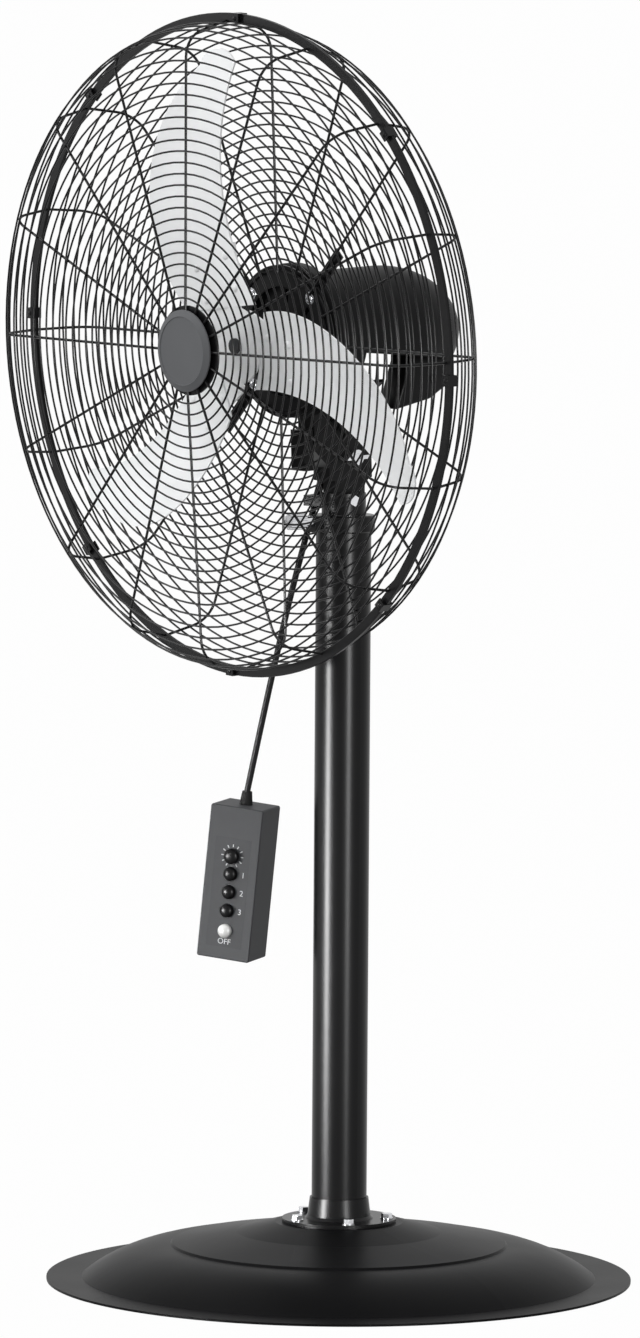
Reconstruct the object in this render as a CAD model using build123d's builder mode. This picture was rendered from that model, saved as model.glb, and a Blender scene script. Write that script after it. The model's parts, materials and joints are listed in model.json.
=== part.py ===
from build123d import *
from math import cos, radians, sin, tan
import os

# A pedestal fan, in millimetres: Z is up, the floor is at Z 0, the pole stands on the Z axis
# and the fan blows towards -Y. The head leans forward a little, as it is left after use.

# Fits
slip = 0.05             # radial clearance of pieces pushed together
running = 0.1           # radial clearance of pieces that turn or slide
seat_gap = 0.05         # between a wire and what it is welded to
play = 0.3              # clear space beside a moving face

# Base
base_radius = 305.0
base_sheet = 2.5
rim_inner_radius = 268.0
dome_bulge = 8.0
step_radius = 176.0
step_top = 40.2
step_width = 2.0
step_drop = 2.2
shoulder_radius = 107.0
shoulder_height = 51.5
seat_radius = 67.0
seat_height = 62.0
base_bore = 20.0
foot_count = 6
foot_radius = 13.0
foot_height = 1.0
foot_circle_radius = 287.0
foot_chamfer = 0.4

# Flange and pole
flange_radius = 59.4
flange_plate = 4.0
flange_bore = 24.0
pole_seat = 2.0
socket_foot_radius = 33.0
socket_top_radius = 30.6
socket_height = 22.0
socket_flare = 3.0
flange_bolt_count = 5
bolt_circle_radius = 50.0
bolt_start_angle = -28.7
flange_bolt_radius = 3.0
flange_bolt_flats = 10.0
flange_bolt_head = 4.5
washer_radius = 6.5
washer_plate = 1.2
nut_height = 5.0
bolt_past_nut = 3.0
pole_radius = 28.75
pole_wall = 2.0
pole_length = 724.0

# Collar, bushing, clamp knob and sliding tube
collar_radius = 32.5
collar_skirt = 4.0
collar_height = 17.5
collar_chamfer = 1.2
collar_boss_width = 16.0
collar_boss_reach = 38.0
bushing_length = 80.0
bushing_flange = 2.0
tube_radius = 19.0
tube_wall = 2.0
tube_length = 420.0
tube_above_collar = 19.5
knob_heading = 260.0
knob_stud_radius = 4.0
knob_neck_radius = 6.0
knob_neck_length = 9.0
knob_head_radius = 8.5
knob_head_length = 18.5
knob_flutes = 10
knob_flute_radius = 1.2

# Neck, its bolt and the cable gland
neck_gap = 0.5
neck_radius = 23.0
neck_cap = 3.0
tongue_depth = 40.0
neck_bolt_radius = 3.0
neck_bolt_flats = 10.0
neck_bolt_head = 5.0
neck_bolt_height = 15.5
neck_bolt_heading = -15.0
gland_heading = 201.3
gland_reach = 33.0
gland_height = 13.0
gland_slant_angle = 17.0
gland_radius = 7.0
gland_above = 9.0
gland_below = 8.0
gland_tip_radius = 5.5
lug_width = 20.0
lug_height = 11.0

# Tilting bracket
pivot_rise = 37.7
rest_tilt_angle = 2.3
bracket_width = 26.0
bracket_plate = 3.0
bracket_drop = 23.0
bracket_back = 26.0
bracket_front = 31.0
bracket_step = 50.0
bracket_step_low = 10.0
bracket_step_high = 40.0
saddle_plate = 3.5
saddle_half_angle = 40.0
pivot_bolt_radius = 4.0
pivot_bolt_flats = 13.0
pivot_bolt_head = 5.5
wing_hub_radius = 8.0
wing_hub_length = 9.0
wing_span = 17.0
wing_plate = 4.0

# Motor, along the fan's own axis: depths are ahead of the middle of the cage
axis_rise = 125.0
cage_forward = 142.0
bell_radius = 80.0
bell_back = 86.0
bell_front = 70.0
bell_edge = 6.0
bell_boss_radius = 28.0
bell_boss_front = 58.0
vent_count = 8
vent_circle_radius = 46.0
vent_length = 16.0
vent_width = 5.0
vent_depth = 8.0
ear_radius = 10.0
ear_circle_radius = 66.5
ear_count = 4
bell_screw_radius = 3.0
bell_screw_head_radius = 5.5
bell_screw_head = 3.5
bell_screw_length = 18.0
motor_radius = 58.0
motor_wall = 6.0
motor_length = 79.0
motor_rear_wall = 14.0
stator_bore_radius = 33.0
core_length = 46.0
core_gap = 0.6
shaft_radius = 8.0
shaft_front = 2.0
bearing_radius = 17.0
bearing_width = 11.0
cover_front_radius = 77.0
cover_rear_radius = 69.0
cover_rear = 258.0
cover_wall = 2.5
cover_edge = 26.0
cover_floor = 24.0
terminal_width = 56.0
terminal_front = 216.0
terminal_drop = 54.0
terminal_rear = 254.0
terminal_rear_drop = 44.0
terminal_edge = 5.0
capacitor_width = 24.0
capacitor_depth = 12.0
capacitor_low = -10.0
capacitor_height = 42.0

# Guards
guard_radius = 335.3
guard_corner_radius = 323.3
guard_corner_bend = 28.0
guard_seam = -2.0
spoke_count = 16
spoke_wire = 3.6
spoke_end = 1.0
ring_wire = 1.8
ring_pitch = 11.5
middle_ring_radius = 130.0
large_ring_radius = 220.0
ring_sides = (16, 24, 32)            # of small, middle and large rings
front_spoke_start = 27.0
front_first_ring = 54.0
front_hub_depth = 64.2
front_corner_depth = 55.5
rear_spoke_start = 72.0
rear_first_ring = 74.0
rear_depth = 57.8
guard_plate_thickness = 2.0
rear_plate_radius = 79.0
rear_plate_bore = 57.0
plate_arm_width = 13.0
plate_arm_reach = 135.0
front_plate_radius = 46.0
hoop_width = 4.6
hoop_thickness = 3.0
clip_count = 8
clip_start_angle = 87.0
clip_width = 11.0
clip_plate = 1.5
clip_leg = 8.0
badge_radius = 42.0
badge_face_radius = 35.3
badge_height = 4.6
badge_dish = 0.8

# Blades and hub
blade_count = 3
blade_lead_angle = 6.5
blade_sheet = 2.0
blade_pitch_angle = 11.2
blade_camber = 7.0
blade_middle = 2.0
blade_root = 40.0
blade_tip = 304.0
blade_tip_across = 18.0
sheet_left = -100.0
sheet_right = 60.0
lead_edge = ((31.0, blade_root), (0.0, 150.0), (3.0, 205.0), (36.0, 288.0))          # across and out
trail_edge = ((-59.0, blade_root), (-91.0, 150.0), (-80.0, 210.0), (-13.0, 290.0))
arm_sheet = 3.0
arm_inner = 12.0
arm_outer = 106.0
arm_width = 54.0
arm_middle = -20.0
hub_radius = 24.0
hub_front = 1.0
hub_plate = 3.0
hub_back = 40.0

# Pendant control and its cord
cord_radius = 3.3
cord_end_gap = 0.45
cord_points = ((58.0, 733.0), (90.0, 606.0))    # reach from the pole and height
pendant_reach = 114.3
pendant_top = 492.5
pendant_lean_angle = 6.0
pendant_heading = 299.3
pendant_width = 58.6
pendant_depth = 50.0
pendant_height = 161.7
pendant_wall = 2.5
pendant_edge = 2.4
pendant_seam = 6.0
label_width = 40.0
label_height = 116.0
label_top = 33.0
label_plate = 0.8
dial_drop = 52.0
dial_radius = 8.0
dial_height = 8.0
dial_gap = 0.5
dial_stem_radius = 3.0
button_drops = (71.0, 90.2, 110.0, 131.5)
button_names = ("low_speed_button", "mid_speed_button", "high_speed_button", "off_button")
button_radius = 7.2
button_proud = 5.0
button_stem = 9.5
button_flange_radius = 8.6
button_flange = 1.5
button_edge = 1.2
switch_width = 30.0
switch_front = 6.0
switch_height = 112.0
switch_top = 40.0
post_radius = 4.2
post_across = 22.0
post_drop = 8.0
case_screw_radius = 1.5
case_screw_bite = 12.0
grommet_radius = 7.0
grommet_tip_radius = 5.2
grommet_height = 14.0

os.makedirs("parts", exist_ok=True)


def finish(builder, name):
    builder.part.label = name
    export_step(builder.part, f"parts/{name}.step")


def hexagon(across_flats):
    return RegularPolygon(across_flats / 2, 6, major_radius=False)


# Heights of the stand
base_seat_under = seat_height - base_sheet
flange_top = seat_height + flange_plate
pole_bottom = seat_height + pole_seat
pole_top = pole_bottom + pole_length
collar_bottom = pole_top - collar_skirt
collar_top = collar_bottom + collar_height
tube_top = collar_top + tube_above_collar
neck_bottom = collar_top + neck_gap
neck_top = tube_top + play + neck_cap
pivot_height = neck_top + pivot_rise
rim_top = foot_height + base_sheet
bolt_spread = (bolt_circle_radius, flange_bolt_count, bolt_start_angle)

# Base: a dished steel sheet with a flat rim, a pressed step and a raised seat
with BuildPart() as base_plate:
    with BuildSketch(Plane.XZ):
        with BuildLine() as top_line:
            rim = Line((base_radius, rim_top), (rim_inner_radius, rim_top))
            step_foot = (step_radius, step_top - step_drop)
            dome_middle = (
                (rim_inner_radius + step_radius) / 2,
                (rim_top + step_top - step_drop) / 2 + dome_bulge,
            )
            ThreePointArc(rim @ 1, dome_middle, step_foot)
            crown = Polyline(
                step_foot,
                (step_radius - step_width, step_top),
                (shoulder_radius, shoulder_height),
                (seat_radius, seat_height),
                (base_bore, seat_height),
            )
            add([edge.moved(Location((0, -base_sheet))) for edge in top_line.edges()])
            Line(rim @ 0, rim @ 0 - Vector(0, base_sheet))
            Line(crown @ 1, crown @ 1 - Vector(0, base_sheet))
        make_face()
    revolve(axis=Axis.Z)
    with Locations((0, 0, seat_height)):
        with PolarLocations(*bolt_spread):
            Hole(flange_bolt_radius + running, base_sheet * 2)
finish(base_plate, "base_plate")

with BuildPart() as base_feet:
    with PolarLocations(foot_circle_radius, foot_count):
        Cylinder(foot_radius, foot_height, align=(Align.CENTER, Align.CENTER, Align.MIN))
    chamfer(base_feet.faces().group_by(Axis.Z)[0].edges(), foot_chamfer)
finish(base_feet, "base_feet")

# Cast flange with the socket that the pole stands in
with BuildPart() as pole_flange:
    with BuildSketch(Plane.XZ):
        with BuildLine():
            Polyline(
                (flange_bore, seat_height),
                (flange_radius, seat_height),
                (flange_radius, flange_top),
                (socket_foot_radius + socket_flare, flange_top),
                (socket_foot_radius, flange_top + socket_flare),
                (socket_top_radius, flange_top + socket_height),
                (pole_radius + slip, flange_top + socket_height),
                (pole_radius + slip, pole_bottom),
                (flange_bore, pole_bottom),
                close=True,
            )
        make_face()
    revolve(axis=Axis.Z)
    with Locations((0, 0, flange_top)):
        with PolarLocations(*bolt_spread):
            Hole(flange_bolt_radius + running, flange_plate)
finish(pole_flange, "pole_flange")

bolt_head_seat = flange_top + washer_plate
nut_bottom = base_seat_under - nut_height
with BuildPart() as flange_bolts:
    with BuildSketch(Plane.XY.offset(flange_top)):
        with PolarLocations(*bolt_spread):
            Circle(washer_radius)
    extrude(amount=washer_plate)
    with BuildSketch(Plane.XY.offset(bolt_head_seat)):
        with PolarLocations(*bolt_spread):
            hexagon(flange_bolt_flats)
    extrude(amount=flange_bolt_head)
    with BuildSketch(Plane.XY.offset(nut_bottom - bolt_past_nut)):
        with PolarLocations(*bolt_spread):
            Circle(flange_bolt_radius)
    extrude(amount=flange_top - nut_bottom + bolt_past_nut)
finish(flange_bolts, "flange_bolts")

with BuildPart() as flange_nuts:
    with BuildSketch(Plane.XY.offset(nut_bottom)):
        with PolarLocations(*bolt_spread):
            hexagon(flange_bolt_flats)
            Circle(flange_bolt_radius + slip, mode=Mode.SUBTRACT)
    extrude(amount=nut_height)
finish(flange_nuts, "flange_nuts")

with BuildPart() as outer_pole:
    with BuildSketch(Plane.XY.offset(pole_bottom)):
        Circle(pole_radius)
        Circle(pole_radius - pole_wall, mode=Mode.SUBTRACT)
    extrude(amount=pole_length)
finish(outer_pole, "outer_pole")

# Plastic bushing in the mouth of the pole, and the collar that caps it, with a boss for the knob
with BuildPart() as pole_bushing:
    with BuildSketch(Plane.XY.offset(pole_top - bushing_length)):
        Circle(pole_radius - pole_wall - slip)
    extrude(amount=bushing_length)
    with BuildSketch(Plane.XY.offset(pole_top)):
        Circle(pole_radius)
    extrude(amount=bushing_flange)
    with Locations((0, 0, pole_top + bushing_flange)):
        Hole(tube_radius + running, bushing_length + bushing_flange)
finish(pole_bushing, "pole_bushing")

bushing_top = pole_top + bushing_flange
knob_height = (bushing_top + collar_top) / 2
knob_out = Vector(cos(radians(knob_heading)), sin(radians(knob_heading)), 0)
knob_plane = Plane(origin=(0, 0, knob_height), x_dir=(0, 0, 1), z_dir=knob_out)

with BuildPart() as pole_collar:
    with BuildSketch(Plane.XY.offset(collar_bottom)):
        Circle(collar_radius)
    extrude(amount=collar_height)
    chamfer(pole_collar.edges().filter_by(GeomType.CIRCLE), collar_chamfer)
    with BuildSketch(Plane.XY.offset(collar_bottom)):
        Rectangle(
            collar_boss_reach,
            collar_boss_width,
            rotation=knob_heading,
            align=(Align.MIN, Align.CENTER),
        )
    extrude(amount=collar_height)
    with BuildSketch(Plane.XY.offset(collar_bottom)):
        Circle(pole_radius + slip)
    extrude(amount=bushing_top - collar_bottom, mode=Mode.SUBTRACT)
    with Locations((0, 0, collar_top)):
        Hole(tube_radius + play, collar_height)
    with BuildSketch(knob_plane):
        Circle(knob_stud_radius + running)
    extrude(amount=collar_radius * 2, mode=Mode.SUBTRACT)
finish(pole_collar, "pole_collar")

knob_neck_start = collar_boss_reach + play
knob_head_start = knob_neck_start + knob_neck_length
with BuildPart() as collar_knob:
    with BuildSketch(knob_plane.offset(tube_radius + play)):
        Circle(knob_stud_radius)
    extrude(amount=knob_head_start - tube_radius - play)
    with BuildSketch(knob_plane.offset(knob_neck_start)):
        Circle(knob_neck_radius)
    extrude(amount=knob_neck_length)
    with BuildSketch(knob_plane.offset(knob_head_start)):
        Circle(knob_head_radius)
        with PolarLocations(knob_head_radius, knob_flutes):
            Circle(knob_flute_radius, mode=Mode.SUBTRACT)
    extrude(amount=knob_head_length)
finish(collar_knob, "collar_knob")

with BuildPart() as inner_tube:
    with BuildSketch(Plane.XY.offset(tube_top - tube_length)):
        Circle(tube_radius)
        Circle(tube_radius - tube_wall, mode=Mode.SUBTRACT)
    extrude(amount=tube_length)
finish(inner_tube, "inner_tube")

# Neck: a sleeve on the tube, a tongue for the tilt pivot and a lug for the cable gland
gland_out = Vector(cos(radians(gland_heading)), sin(radians(gland_heading)), 0)
gland_centre = gland_out * gland_reach + Vector(0, 0, neck_bottom + gland_height)
gland_down = gland_out * sin(radians(gland_slant_angle)) - Vector(0, 0, cos(radians(gland_slant_angle)))
gland_side = Vector(-sin(radians(gland_heading)), cos(radians(gland_heading)), 0)
gland_plane = Plane(origin=gland_centre, x_dir=gland_side, z_dir=gland_down)
cord_exit = gland_centre + gland_down * gland_below
tongue_half = bracket_width / 2 - bracket_plate - play
neck_bolt_plane = Plane(
    origin=(0, 0, neck_bottom + neck_bolt_height),
    x_dir=(0, 0, 1),
    z_dir=(cos(radians(neck_bolt_heading)), sin(radians(neck_bolt_heading)), 0),
)
lug_plane = Plane(
    origin=gland_out * (neck_radius + gland_reach) / 2 + Vector(0, 0, neck_bottom + gland_height),
    x_dir=gland_out,
    z_dir=(0, 0, 1),
)

with BuildPart() as neck_yoke:
    with BuildSketch(Plane.XY.offset(neck_bottom)):
        Circle(neck_radius)
    extrude(amount=neck_top - neck_bottom)
    with BuildSketch(lug_plane):
        Rectangle(gland_reach + gland_radius - neck_radius / 2, lug_width)
    extrude(amount=lug_height / 2, both=True)
    with BuildSketch(Plane.XY.offset(neck_bottom)):
        Circle(tube_radius + running)
    extrude(amount=tube_top + play - neck_bottom, mode=Mode.SUBTRACT)
    with BuildSketch(Plane.YZ):
        with Locations((0, pivot_height)):
            Circle(tongue_depth / 2)
        with Locations((0, (neck_top + pivot_height) / 2)):
            Rectangle(tongue_depth, pivot_height - neck_top)
    extrude(amount=tongue_half, both=True)
    with BuildSketch(Plane.YZ):
        with Locations((0, pivot_height)):
            Circle(pivot_bolt_radius + running)
    extrude(amount=tongue_half, both=True, mode=Mode.SUBTRACT)
    with BuildSketch(gland_plane):
        Circle(gland_radius + slip)
    extrude(amount=lug_height, both=True, mode=Mode.SUBTRACT)
    with BuildSketch(neck_bolt_plane):
        Circle(neck_bolt_radius + slip)
    extrude(amount=neck_radius, mode=Mode.SUBTRACT)
finish(neck_yoke, "neck_yoke")

with BuildPart() as neck_bolt:
    with BuildSketch(neck_bolt_plane.offset(tube_radius + play)):
        Circle(neck_bolt_radius)
    extrude(amount=neck_radius - tube_radius)
    with BuildSketch(neck_bolt_plane.offset(neck_radius)):
        hexagon(neck_bolt_flats)
    extrude(amount=neck_bolt_head)
finish(neck_bolt, "neck_bolt")

# The gland ends in a round socket, so that the cord can swing in it
with BuildPart() as cable_gland:
    with BuildSketch(gland_plane.offset(-gland_above)):
        Circle(gland_radius)
    with BuildSketch(gland_plane.offset(gland_below)):
        Circle(gland_tip_radius)
    loft()
    with Locations(Location(cord_exit)):
        Sphere(cord_radius + running, mode=Mode.SUBTRACT)
    chamfer(cable_gland.edges().filter_by(GeomType.CIRCLE).sort_by(SortBy.RADIUS)[0], play)
finish(cable_gland, "cable_gland")

# The head turns about the pivot. Its fan plane has X to the side, Y up and Z ahead along the fan's axis.
head = Plane(
    origin=(0, 0, pivot_height),
    x_dir=(1, 0, 0),
    z_dir=(0, -sin(radians(rest_tilt_angle)), cos(radians(rest_tilt_angle))),
)
head_side = Plane(origin=head.origin, x_dir=head.y_dir, z_dir=head.x_dir)
fan = Plane(
    origin=head.from_local_coords(Vector(0, -cage_forward, axis_rise)),
    x_dir=(1, 0, 0),
    z_dir=-head.y_dir,
)
fan_section = Plane(origin=fan.origin, x_dir=fan.y_dir, z_dir=fan.x_dir)
fan_axis = Axis(fan.origin, fan.z_dir)
motor_rear = bell_back + motor_length
motor_under = axis_rise - motor_radius
saddle_half = axis_rise * sin(radians(saddle_half_angle))
saddle_low = axis_rise * cos(radians(saddle_half_angle))

# Bracket: a folded channel, open behind, with a saddle under the motor
with BuildPart() as motor_bracket:
    with BuildSketch(head_side):
        with BuildLine():
            Polyline(
                (bracket_back, -bracket_drop),
                (-bracket_front, -bracket_drop),
                (-bracket_front, bracket_step_low - (bracket_step - bracket_front)),
                (-bracket_step, bracket_step_low),
                (-bracket_step, bracket_step_high),
                (bell_back - cage_forward, motor_under),
                (motor_rear - cage_forward, motor_under),
                (bracket_back, bracket_step_high),
                close=True,
            )
        make_face()
    extrude(amount=bracket_width / 2, both=True)
    with BuildSketch(head_side):
        with BuildLine():
            Polyline(
                (motor_rear, -bracket_drop * 2),
                (-bracket_front + bracket_plate, -bracket_drop * 2),
                (-bracket_front + bracket_plate, bracket_step_low - (bracket_step - bracket_front)),
                (-bracket_step + bracket_plate, bracket_step_low),
                (-bracket_step + bracket_plate, bracket_step_high),
                (bell_back - cage_forward + bracket_plate, motor_under),
                (motor_rear, motor_under),
                close=True,
            )
        make_face()
    extrude(amount=bracket_width / 2 - bracket_plate, both=True, mode=Mode.SUBTRACT)
    with BuildSketch(fan.offset(-motor_rear)):
        Circle(motor_radius + saddle_plate)
        with BuildLine():
            Polyline((0, 0), (-saddle_half, -saddle_low), (saddle_half, -saddle_low), close=True)
        make_face(mode=Mode.INTERSECT)
    extrude(amount=motor_length - play)
    with BuildSketch(fan.offset(-motor_rear * 2)):
        Circle(motor_radius + slip)
    extrude(amount=motor_rear * 2, mode=Mode.SUBTRACT)
    with BuildSketch(head_side):
        Circle(pivot_bolt_radius + slip)
    extrude(amount=bracket_width, both=True, mode=Mode.SUBTRACT)
finish(motor_bracket, "motor_bracket")

bracket_half = bracket_width / 2
wing_start = bracket_half + play
with BuildPart() as tilt_bolt:
    with BuildSketch(head_side.offset(-bracket_half)):
        Circle(pivot_bolt_radius)
    extrude(amount=bracket_width + play + wing_hub_length)
    with BuildSketch(head_side.offset(-bracket_half)):
        hexagon(pivot_bolt_flats)
    extrude(amount=-pivot_bolt_head)
finish(tilt_bolt, "tilt_bolt")

with BuildPart() as wing_nut:
    with BuildSketch(head_side.offset(wing_start)):
        Circle(wing_hub_radius)
    extrude(amount=wing_hub_length)
    with BuildSketch(head_side.offset(wing_start + wing_hub_length / 3)):
        SlotOverall(wing_span * 2, wing_plate)
    extrude(amount=wing_hub_length)
    with BuildSketch(head_side.offset(wing_start)):
        Circle(pivot_bolt_radius + running)
    extrude(amount=wing_hub_length * 2, mode=Mode.SUBTRACT)
finish(wing_nut, "wing_nut")

# Motor: front bell with four ears, body, core, bearings and shaft
ear_spread = (ear_circle_radius, ear_count, 180 / ear_count)
ring_height = ring_wire * 3 / 2      # of a three-sided wire
rear_plate_back = rear_depth + spoke_wire / 2 + ring_height + seat_gap * 2 + guard_plate_thickness

with BuildPart() as front_bell:
    with BuildSketch(fan.offset(-bell_back)):
        Circle(bell_radius)
    extrude(amount=bell_back - bell_front)
    fillet(front_bell.faces().sort_by(fan_axis)[-1].edges(), bell_edge)
    with BuildSketch(fan.offset(-bell_front)):
        Circle(bell_boss_radius)
    extrude(amount=bell_front - bell_boss_front)
    with BuildSketch(fan.offset(-bell_back)):
        with PolarLocations(*ear_spread):
            Circle(ear_radius)
    extrude(amount=bell_back - rear_plate_back)
    with BuildSketch(fan.offset(-bell_back)):
        with PolarLocations(*ear_spread):
            Circle(bell_screw_radius + slip)
        Circle(shaft_radius + play)
    extrude(amount=bell_back, mode=Mode.SUBTRACT)
    with BuildSketch(fan.offset(-bell_back)):
        Circle(bearing_radius + slip)
    extrude(amount=bearing_width + slip, mode=Mode.SUBTRACT)
    with BuildSketch(fan.offset(-bell_front)):
        with PolarLocations(vent_circle_radius, vent_count):
            SlotOverall(vent_length, vent_width)
    extrude(amount=-vent_depth, mode=Mode.SUBTRACT)
finish(front_bell, "front_bell")

with BuildPart() as bell_screws:
    with BuildSketch(fan.offset(-rear_plate_back + guard_plate_thickness)):
        with PolarLocations(*ear_spread):
            Circle(bell_screw_head_radius)
    extrude(amount=bell_screw_head)
    chamfer(bell_screws.faces().sort_by(fan_axis)[-1 * ear_count:].edges(), bell_screw_head / 3)
    with BuildSketch(fan.offset(-rear_plate_back + guard_plate_thickness)):
        with PolarLocations(*ear_spread):
            Circle(bell_screw_radius)
    extrude(amount=-bell_screw_length)
finish(bell_screws, "bell_screws")

motor_bore = motor_radius - motor_wall
with BuildPart() as motor_body:
    with BuildSketch(fan.offset(-motor_rear)):
        Circle(motor_radius)
    extrude(amount=motor_length)
    with BuildSketch(fan.offset(-motor_rear + motor_rear_wall)):
        Circle(motor_bore)
    extrude(amount=motor_length, mode=Mode.SUBTRACT)
    with BuildSketch(fan.offset(-motor_rear + motor_rear_wall)):
        Circle(bearing_radius + slip)
    extrude(amount=-bearing_width - slip, mode=Mode.SUBTRACT)
finish(motor_body, "motor_body")

core_back = (motor_rear - motor_rear_wall + bell_back + core_length) / 2
with BuildPart() as stator_core:
    with BuildSketch(fan.offset(-core_back)):
        Circle(motor_bore - slip)
        Circle(stator_bore_radius, mode=Mode.SUBTRACT)
    extrude(amount=core_length)
finish(stator_core, "stator_core")

with BuildPart() as rotor_core:
    with BuildSketch(fan.offset(-core_back)):
        Circle(stator_bore_radius - core_gap)
        Circle(shaft_radius + slip, mode=Mode.SUBTRACT)
    extrude(amount=core_length)
finish(rotor_core, "rotor_core")

rear_bearing_back = motor_rear - motor_rear_wall + bearing_width
with BuildPart() as motor_shaft:
    with BuildSketch(fan.offset(-rear_bearing_back)):
        Circle(shaft_radius)
    extrude(amount=rear_bearing_back + shaft_front)
finish(motor_shaft, "motor_shaft")


def bearing(back, name):
    with BuildPart() as ring:
        with BuildSketch(fan.offset(-back)):
            Circle(bearing_radius)
            Circle(shaft_radius + running, mode=Mode.SUBTRACT)
        extrude(amount=bearing_width)
    finish(ring, name)


bearing(bell_back, "front_bearing")
bearing(rear_bearing_back, "rear_bearing")

rear_rim = Axis((0, 0, 0), (1, -1, 0))      # in a half section: outwards and to the rear

# Motor cover: a tapered round hood with a flat floor behind the gap that the body hangs through
with BuildPart() as cover_space:
    with BuildSketch(fan_section) as space_half:
        with BuildLine():
            Polyline(
                (0, -bell_front),
                (cover_front_radius - cover_wall, -bell_front),
                (cover_rear_radius - cover_wall, -cover_rear + cover_wall),
                (0, -cover_rear + cover_wall),
                close=True,
            )
        make_face()
        fillet(space_half.vertices().sort_by(rear_rim)[-1], cover_edge - cover_wall)
    revolve(axis=fan_axis)
    with BuildSketch(fan.offset(-motor_rear - play)):
        with Locations((0, cover_wall - cover_floor - cover_front_radius)):
            Rectangle(cover_front_radius * 2, cover_front_radius * 2)
    extrude(amount=-cover_rear, mode=Mode.SUBTRACT)

with BuildPart() as motor_cover:
    with BuildSketch(fan_section) as cover_half:
        with BuildLine():
            Polyline(
                (0, -bell_back),
                (cover_front_radius, -bell_back),
                (cover_rear_radius, -cover_rear),
                (0, -cover_rear),
                close=True,
            )
        make_face()
        fillet(cover_half.vertices().sort_by(rear_rim)[-1], cover_edge)
    revolve(axis=fan_axis)
    with BuildSketch(fan.offset(-cover_rear)):
        with Locations((0, -cover_floor - cover_front_radius)):
            Rectangle(cover_front_radius * 2, cover_front_radius * 2)
    extrude(amount=cover_rear, mode=Mode.SUBTRACT)
    add(cover_space.part, mode=Mode.SUBTRACT)
finish(motor_cover, "motor_cover")

with BuildPart() as terminal_box:
    with BuildSketch(fan_section):
        with BuildLine():
            Polyline(
                (-cover_floor, -terminal_front),
                (-cover_floor - terminal_drop, -terminal_front),
                (-cover_floor - terminal_rear_drop, -terminal_rear),
                (-cover_floor, -terminal_rear),
                close=True,
            )
        make_face()
    extrude(amount=terminal_width / 2, both=True)
    fillet(terminal_box.faces().sort_by(Axis(fan.origin, fan.y_dir))[0].edges(), terminal_edge)
finish(terminal_box, "terminal_box")

with BuildPart() as capacitor:
    with BuildSketch(head_side):
        with Locations((-bracket_step, capacitor_low)):
            Rectangle(capacitor_depth, capacitor_height, align=(Align.MAX, Align.MIN))
    extrude(amount=capacitor_width / 2, both=True)
    fillet(capacitor.edges().filter_by(Axis(head.origin, head.z_dir)), capacitor_depth / 8)
finish(capacitor, "capacitor")


# Guards: bent spokes with rings of finer wire welded on their outside
def spoke_path(start, start_depth, corner_depth, end_depth):
    with BuildLine(fan_section) as path:
        FilletPolyline(
            (start, start_depth),
            (guard_corner_radius, corner_depth),
            (guard_radius, end_depth),
            radius=guard_corner_bend,
        )
    return path.wires()[0]


def guard_spokes(path, name):
    with BuildPart() as wire:
        with BuildSketch(Plane(origin=path @ 0, x_dir=fan.x_dir, z_dir=path % 0)):
            Rectangle(spoke_wire, spoke_wire)
        sweep(path=path)
    with BuildPart(fan) as spokes:
        with PolarLocations(0, spoke_count):
            add(wire.part.moved(fan.location.inverse()))
    finish(spokes, name)


def guard_ring(path, distance):
    place = fan_section.to_local_coords(path.position_at(distance, position_mode=PositionMode.LENGTH))
    tangent = path.tangent_at(distance, position_mode=PositionMode.LENGTH)
    along = Vector(tangent.dot(fan_section.x_dir), tangent.dot(fan_section.y_dir))
    outward = Vector(-along.Y, along.X) if place.Y > 0 else Vector(along.Y, -along.X)
    sides = ring_sides[(place.X > middle_ring_radius) + (place.X > large_ring_radius)]
    turn_in = outward.X * spoke_wire / 2 * tan(radians(180 / sides))     # of a side beside its corner
    outset = spoke_wire / 2 + seat_gap + ring_wire / 2 + turn_in
    radius = place.X + outward.X * outset
    depth = place.Y + outward.Y * outset
    with BuildPart() as ring:
        with BuildLine(fan.offset(depth)) as outline:
            turns = [radians(90 + 360 * corner / sides) for corner in range(sides)]
            Polyline(*[(radius * cos(turn), radius * sin(turn)) for turn in turns], close=True)
        loop = outline.wires()[0]
        start = loop @ 0
        side = loop % 0
        away = side.cross(fan.z_dir)
        away = away if away.dot(start - fan.offset(depth).origin) > 0 else -away
        facing = away * outward.X + fan.z_dir * outward.Y
        with BuildSketch(Plane(origin=start, x_dir=facing, z_dir=side)):
            RegularPolygon(ring_wire, 3)
        sweep(path=loop, transition=Transition.RIGHT)
    return ring.part.solid()


def guard_rings(path, first, side):
    face_rings = []
    rim_rings = []
    distance = first
    while distance < path.length - hoop_width - ring_wire * 2:
        on_face = distance < path.edges()[0].length
        (face_rings if on_face else rim_rings).append(guard_ring(path, distance))
        distance += ring_pitch
    for wires, name in ((face_rings, "face"), (rim_rings, "rim")):
        with BuildPart() as rings:
            add(wires, clean=False)
        finish(rings, f"{side}_{name}_rings")
        print(side, name, "rings", len(wires))


front_path = spoke_path(front_spoke_start, front_hub_depth, front_corner_depth, guard_seam + spoke_end)
rear_path = spoke_path(rear_spoke_start, -rear_depth, -rear_depth, guard_seam - spoke_end)
guard_spokes(front_path, "front_guard_spokes")
guard_spokes(rear_path, "rear_guard_spokes")
guard_rings(front_path, front_first_ring - front_spoke_start, "front")
guard_rings(rear_path, rear_first_ring - rear_spoke_start, "rear")

hoop_inner = guard_radius + spoke_wire / 2 + seat_gap


def guard_hoop(back, name):
    with BuildPart() as hoop:
        with BuildSketch(fan.offset(back)):
            Circle(hoop_inner + hoop_thickness)
            Circle(hoop_inner, mode=Mode.SUBTRACT)
        extrude(amount=hoop_width)
    finish(hoop, name)


guard_hoop(guard_seam + seat_gap, "front_guard_hoop")
guard_hoop(guard_seam - seat_gap - hoop_width, "rear_guard_hoop")

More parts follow.
